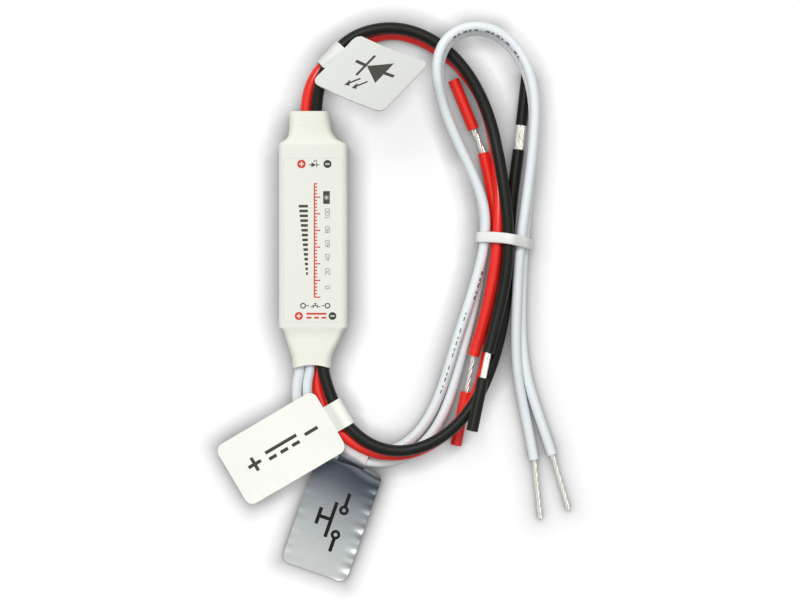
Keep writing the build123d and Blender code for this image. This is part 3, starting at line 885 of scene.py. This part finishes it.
# marks lie on a plane given by a point, two directions and a lift
def addMarks(name, shapes, finish, origin, across, up, lift, grid=4):
    origin, across, up = Vector(origin), Vector(across).normalized(), Vector(up).normalized()
    normal = across.cross(up)
    spots = {}
    tops = [[spots.setdefault((round(u, grid), round(v, grid)), len(spots)) for u, v in shape] for shape in shapes]
    flat = [origin + across * u + up * v for u, v in spots]
    verts = [v + normal * height for height in (lift, lift - inkThick) for v in flat]
    under = len(flat)
    edges = {(a, b) for top in tops for a, b in zip(top, top[1:] + top[:1])}
    faces = tops + [[under + i for i in reversed(top)] for top in tops]
    faces += [(b, a, under + a, under + b) for a, b in sorted(edges) if (b, a) not in edges]
    return addMesh(name, verts, faces, finish, smooth=False)


# printed face of the sleeve, millimetres from the middle of the face
facePrint = {
    "height": 5.0, "lift": 0.012, "paleLift": 0.022, "signWidth": 0.2,
    # place and radius of a disc, reach of the sign on it
    "plus": [(-2.08, 13.56, 0.77, 0.42), (-2.56, -13.8, 0.73, 0.4)],
    "minus": [(2.6, 13.56, 0.73, 0.38), (3.5, -13.8, 0.71, 0.36)],
    "current": {"size": (3.6, 0.34), "place": (0.62, -13.8)},
    "diode": {"size": (0.95, 0.16), "place": (0.18, 13.41)},
    "button": {"size": (0.85, 0.15), "place": (0.4, -12.15)},
    # rings and short lines at either end of the button's row
    "ends": {
        "y": -11.95, "spans": ((-1.8, -1.2, -0.75), (2.6, 1.55, 2.0)), "radius": 0.42, "ring": 0.2, "half": 0.08,
    },
    "scale": {
        "low": -10.4, "high": 10.0, "steps": 34, "left": 0.14, "right": 0.36, "half": 0.11,
        "long": 1.15, "short": 0.62, "longEvery": 5,
    },
    "bars": {"low": -6.6, "high": 6.4, "count": 15, "right": -0.92, "least": 0.35, "growth": 1.3, "half": 0.24},
    "figures": {
        "texts": ("0", "20", "40", "60", "80", "100"), "x": 2.98, "low": -8.9, "high": 5.2, "steps": 5.6,
        "height": 0.78, "width": 0.12,
    },
    "lamp": {
        "box": (1.82, 6.38, 3.02, 8.68), "centre": (2.42, 7.52), "radius": 0.2,
        "rays": 8, "ray": (0.3, 0.45), "width": 0.09,
    },
    # border: a faint line a little darker than the face, round its flat part
    "border": {
        "corners": ((4.45, 13.75), (-4.5, 13.75), (-4.5, -14.05), (4.45, -14.05)),
        "radius": 0.85, "steps": 6, "width": 0.16,
    },
}


def signMark(draw, look):
    return moved(draw(*look["size"]), *look["place"])


def between(look, share):
    return look["low"] + (look["high"] - look["low"]) * share


redMarks = signMark(directCurrentSign, facePrint["current"])
darkMarks = signMark(diodeSign, facePrint["diode"]) + signMark(buttonSign, facePrint["button"])
greyMarks, paleMarks = [], []
width = facePrint["signWidth"]
for x, y, radius, reach in facePrint["plus"]:
    redMarks += disc(x, y, radius)
    paleMarks += plusSign(x, y, reach, width)
for x, y, radius, reach in facePrint["minus"]:
    darkMarks += disc(x, y, radius)
    paleMarks += bar(x - reach, y - width / 2, x + reach, y + width / 2)

look = facePrint["ends"]
for x, left, right in look["spans"]:
    darkMarks += ring(x, look["y"], look["radius"], look["ring"])
    darkMarks += bar(left, look["y"] - look["half"], right, look["y"] + look["half"])

look = facePrint["scale"]
half = look["half"]
redMarks += bar(look["left"], look["low"] - half, look["right"], look["high"] + half)
for i in range(look["steps"] + 1):
    y = between(look, i / look["steps"])
    reach = look["short"] if i % look["longEvery"] else look["long"]
    redMarks += bar(look["right"], y - half, look["left"] + reach, y + half)

look = facePrint["bars"]
for i in range(look["count"]):
    y = between(look, (i + 0.5) / look["count"])
    reach = look["least"] + look["growth"] * i / (look["count"] - 1)
    darkMarks += bar(look["right"] - reach, y - look["half"], look["right"], y + look["half"])

look = facePrint["figures"]
for i, text in enumerate(look["texts"]):
    y = between(look, i / look["steps"])
    greyMarks += turned(figures(text, look["height"], look["width"]), look["x"], y)

look = facePrint["lamp"]
x, y = look["centre"]
darkMarks += bar(*look["box"])
paleMarks += disc(x, y, look["radius"])
for i in range(look["rays"]):
    turn = i * tau / look["rays"]
    paleMarks += stroke([(x + r * cos(turn), y + r * sin(turn)) for r in look["ray"]], look["width"])

look = facePrint["border"]
border = []
for quarter, (x, y) in enumerate(look["corners"]):
    for k in range(look["steps"] + 1):
        turn = (quarter + k / look["steps"]) * pi / 2
        border.append((x + look["radius"] * cos(turn), y + look["radius"] * sin(turn)))
for name, shapes, ink, lift in (
    ("face_border", stroke(border + border[:1], look["width"]), "faint face line", "lift"),
    ("face_red_marks", redMarks, "red ink", "lift"),
    ("face_dark_marks", darkMarks, "dark ink", "lift"),
    ("face_grey_marks", greyMarks, "grey ink", "lift"),
    ("face_pale_marks", paleMarks, "sleeve film", "paleLift"),
):
    middle = (0, 0, facePrint["height"])
    addMarks(name, shapes, ink, middle, (1, 0, 0), (0, 1, 0), facePrint[lift])

# each flag: the film on its face, its ripple at either edge and its bow, its sign and how far along that stands,
# and the painted shade it gives the floor: share of its size, strength and reach
flags = {
    "led_tag": {
        **tagPlanes["led_tag"], "film": "output tag film in painted shade", "slot": "tag_film",
        "ripple": (0.02, 0.03), "bow": -0.65, "shade": (0.7, 0.38, 4.2),
        "ink": "dark ink", "middle": 10.2, "sign": moved(diodeSign(5.6, 0.62), 0, -1.3),
    },
    "supply_tag": {
        **tagPlanes["supply_tag"], "film": "supply tag film", "slot": "tag_film",
        "ripple": (0.05, 0.02), "bow": 0.35, "shade": (1, 0.28, 3.4), "ink": "dark ink", "middle": 10.0,
        "sign": directCurrentSign(6.6, 0.62) + plusSign(-6.0, 0, 1.35, 0.62) + bar(4.65, -0.31, 7.35, 0.31),
    },
    "button_tag": {
        **tagPlanes["button_tag"], "film": "silver film", "slot": "silver_film",
        "ripple": (0.13, 0.03), "bow": 0.2, "shade": (1, 0.42, 3.4),
        "ink": "black ink", "middle": 10.8, "sign": moved(buttonSign(5.6, 0.66), 0, -1.6),
    },
}
flagLook = {
    "width": 12.4, "corner": 1.5, "thick": 0.25, "film": 0.06, "gap": 0.004, "signLift": 0.015, "sharp": 35,
    "columns": 96, "rows": 40, "crowd": 0.035, "cuts": 24, "snap": 1e-7,
    "calm": 0.5, "rise": 1.2, "pull": 0.35,
    "slow": {"rate": 1.7, "sway": 0.8, "swayRate": 0.6}, "quick": {"rate": 3.3, "share": 0.7, "start": 1.1},
}


# directions of a flag: along its run, along its fold and out of its upper face
def flagFrame(flag):
    run, along = Vector(flag["run"]).normalized(), Vector(flag["along"]).normalized()
    normal = run.cross(along)
    return run, along, normal if normal.z > 0 else -normal


# bow a piece of a flag: cut it across its run, then lift or lower its middle
def curl(piece, flag, look):
    run, along, normal = flagFrame(flag)
    fold = Vector(flag["fold"])
    shape = bmesh.new()
    shape.from_mesh(piece.data)
    for i in range(1, look["cuts"]):
        cutAcross(shape, (fold + run * (flagLength * i / look["cuts"])) * mm, run, look["snap"])
    for v in shape.verts:
        share = min(1, max(0, (v.co / mm - fold).dot(run) / flagLength))
        v.co += normal * (flag["bow"] * sin(pi * share) * mm)
    shape.to_mesh(piece.data)
    shape.free()


def rippleWave(x, look):
    slow, quick = look["slow"], look["quick"]
    swayed = sin(x * slow["rate"] + slow["sway"] * sin(x * slow["swayRate"]))
    return swayed + quick["share"] * sin(x * quick["rate"] + quick["start"])


# face film of a flag: flat in its middle, rippled toward its two long edges, closed below
def tagFace(name, flag, look):
    run, along, normal = flagFrame(flag)
    half, corner, base = look["width"] / 2, look["corner"], look["thick"] / 2
    top, under = [], []
    for i in range(look["columns"] + 1):
        share = i / look["columns"]
        x = flagLength * (share - look["crowd"] * sin(tau * share))
        gap = max(0, corner - min(x, flagLength - x))
        reach = half - corner + sqrt(max(0, corner**2 - gap**2))
        wave = rippleWave(x, look)
        for j in range(look["rows"] + 1):
            across = j / look["rows"] * 2 - 1
            edge = max(0, abs(across) - look["calm"]) / (1 - look["calm"])
            height = flag["ripple"][0 if across > 0 else 1] * edge**2
            out = reach - look["pull"] * height * edge * (1 + wave)
            spot = Vector(flag["fold"]) + run * x + along * across * out
            top.append(spot + normal * (base + look["film"] + height * (look["rise"] + wave)))
            under.append(spot + normal * (base + look["gap"]))
    faces = slabFaces(look["columns"], look["rows"])
    if run.cross(along).dot(normal) > 0:
        faces = [tuple(reversed(face)) for face in faces]
    return addMesh(name + "_face", top + under, faces, flag["film"])


for name, flag in flags.items():
    run, along, normal = flagFrame(flag)
    middle = Vector(flag["fold"]) + run * flag["middle"]
    lift = flagLook["thick"] / 2 + flagLook["film"] + flagLook["signLift"]
    plies = copySolid(name, name + "_plies")
    film = tagFace(name, flag, flagLook)
    up = normal.cross(-run)
    sign = addMarks(name + "_sign", flag["sign"], flag["ink"], middle, -run, up, lift)
    for piece in (plies, film, sign):
        curl(piece, flag, flagLook)
    for piece in (plies, film):
        piece.data.polygons.foreach_set("use_smooth", [True] * len(piece.data.polygons))
        piece.data.set_sharp_from_angle(angle=radians(flagLook["sharp"]))
print("print, tag faces and signs made")

# floor of pale paper, a hair under the object; tips and loop are a strength and a reach of painted shade
floorLook = {
    "half": 1.0, "drop": 0.02, "rough": 0.9,
    "pale": (1, 1, 1, 1), "shadow": (0.12, 0.12, 0.122, 1), "bounce": (0.4, 0.4, 0.4, 1),
    "glow": 0.75, "near": 4.7, "depth": 1.6, "samples": 12,
    "fade": 1.25, "tips": (0.15, 4.5), "loop": (0.5, 3.8), "loopPoints": (20, 27), "strip": 0.8,
}
half, level = floorLook["half"], -floorLook["drop"] * mm
floorMesh = bpy.data.meshes.new("floor")
floorMesh.from_pydata([(x, y, level) for x in (-half, half) for y in (-half, half)], [], [(0, 2, 3, 1)])
floor = link("floor", floorMesh)
paper = Finish("floor paper", {"Roughness": floorLook["rough"], "Specular IOR Level": 0.0})


# how far a spot on the paper lies outside a footprint, given by its middle and two sides in millimetres
def footGap(middle, first, second):
    place = paper.place()
    gaps = []
    for side, other in ((first, second), (second, first)):
        normal = Vector((side.y, -side.x, 0)).normalized()
        offset = paper.dot(place, normal) - normal.dot(middle) * mm
        gap = offset.math("ABSOLUTE") - abs(normal.dot(other)) / 2 * mm
        gaps.append(gap.math("MAXIMUM", 0.0))
    return (gaps[0] * gaps[0] + gaps[1] * gaps[1]) ** 0.5


def footShade(gap, strength, reach):
    return 1 - strength * paper.fall(gap, reach) ** floorLook["fade"]


# painted shade on the paper: darker near any solid, and soft painted shadows round the flags, bare tips and the
# raised side of the white loop
nearness = {"samples": floorLook["samples"]}, {"Distance": floorLook["near"] * mm}
paintedLight = paper.add("ShaderNodeAmbientOcclusion", *nearness, "AO") ** floorLook["depth"]
for flag in flags.values():
    run, wide = Vector(flag["run"]) * flagLength, Vector(flag["along"]) * flagLook["width"]
    share, strength, reach = flag["shade"]
    gap = footGap(Vector(flag["fold"]) + run / 2, run * share, wide * share)
    paintedLight = paintedLight * footShade(gap, strength, reach)
tips = [[routes[name][-1], lead["far"]] for name, lead in leads.items() if not lead["window"]]
loop = routes["button_lead_a"][slice(*floorLook["loopPoints"])]
for lines, (strength, reach) in ((tips, floorLook["tips"]), ([loop], floorLook["loop"])):
    nearest = None
    for start, far in ((Vector(a), Vector(b)) for line in lines for a, b in zip(line, line[1:])):
        wide = (far - start).cross(upward).normalized() * floorLook["strip"]
        gap = footGap((start + far) / 2, far - start, wide)
        nearest = gap.math("MINIMUM", nearest) if nearest else gap
    paintedLight = paintedLight * footShade(nearest, strength, reach)
shown = paper.blend(paper.clamp(paintedLight), floorLook["shadow"], floorLook["pale"])
# where it is seen directly or in a reflection the paper glows with its painted shade and also takes light; light
# bounced off it sees plain grey
rays = ("Is Camera Ray", "Is Glossy Ray", "Is Transmission Ray")
seen = paper.clamp(sum(paper.add("ShaderNodeLightPath", {}, {}, ray) for ray in rays))
paper.dress({
    "Base Color": paper.blend(seen, floorLook["bounce"], paper.blend(floorLook["glow"], shown, black)),
    "Emission Color": paper.blend(seen, black, shown),
    "Emission Strength": floorLook["glow"],
})
floorMesh.materials.append(paper.material)

# plain sky, brighter on one side, and one softbox
lightLook = {
    "low": 0.08, "high": 1.08, "from": (-0.08, 0.24, 0.97), "softbox": 1.9, "size": (0.3, 0.2),
    "spot": (-0.1, 0.28, 0.61), "aim": (0.0156, -0.011, 0),
}
world = bpy.data.worlds.new("sky")
world.use_nodes = True
sky = Tree(world.node_tree)
facing = sky.dot(sky.add("ShaderNodeTexCoord", {}, {}, "Generated"), Vector(lightLook["from"]).normalized())
strength = between(lightLook, sky.clamp(facing))
sky.set(world.node_tree.nodes["Background"], {"Color": (1, 1, 1, 1), "Strength": strength})
scene.world = world

lampData = bpy.data.lights.new("softbox", "AREA")
lampData.shape = "RECTANGLE"
lampData.size, lampData.size_y = lightLook["size"]
lampData.energy = lightLook["softbox"]
lamp = link("softbox", lampData)
lamp.location = lightLook["spot"]
lamp.rotation_euler = (Vector(lightLook["aim"]) - lamp.location).to_track_quat("-Z", "Y").to_euler()

# straight down on the object
cameraLook = {"spot": (0.015652, -0.01092, 0.45), "lens": 111.26, "sensor": 36, "near": 0.01}
cameraData = bpy.data.cameras.new("camera")
cameraData.sensor_fit = "HORIZONTAL"
cameraData.sensor_width = cameraLook["sensor"]
cameraData.lens = cameraLook["lens"]
cameraData.clip_start = cameraLook["near"]
camera = link("camera", cameraData)
camera.location = cameraLook["spot"]
scene.camera = camera
scene.view_settings.view_transform = "Standard"
print("stage made")
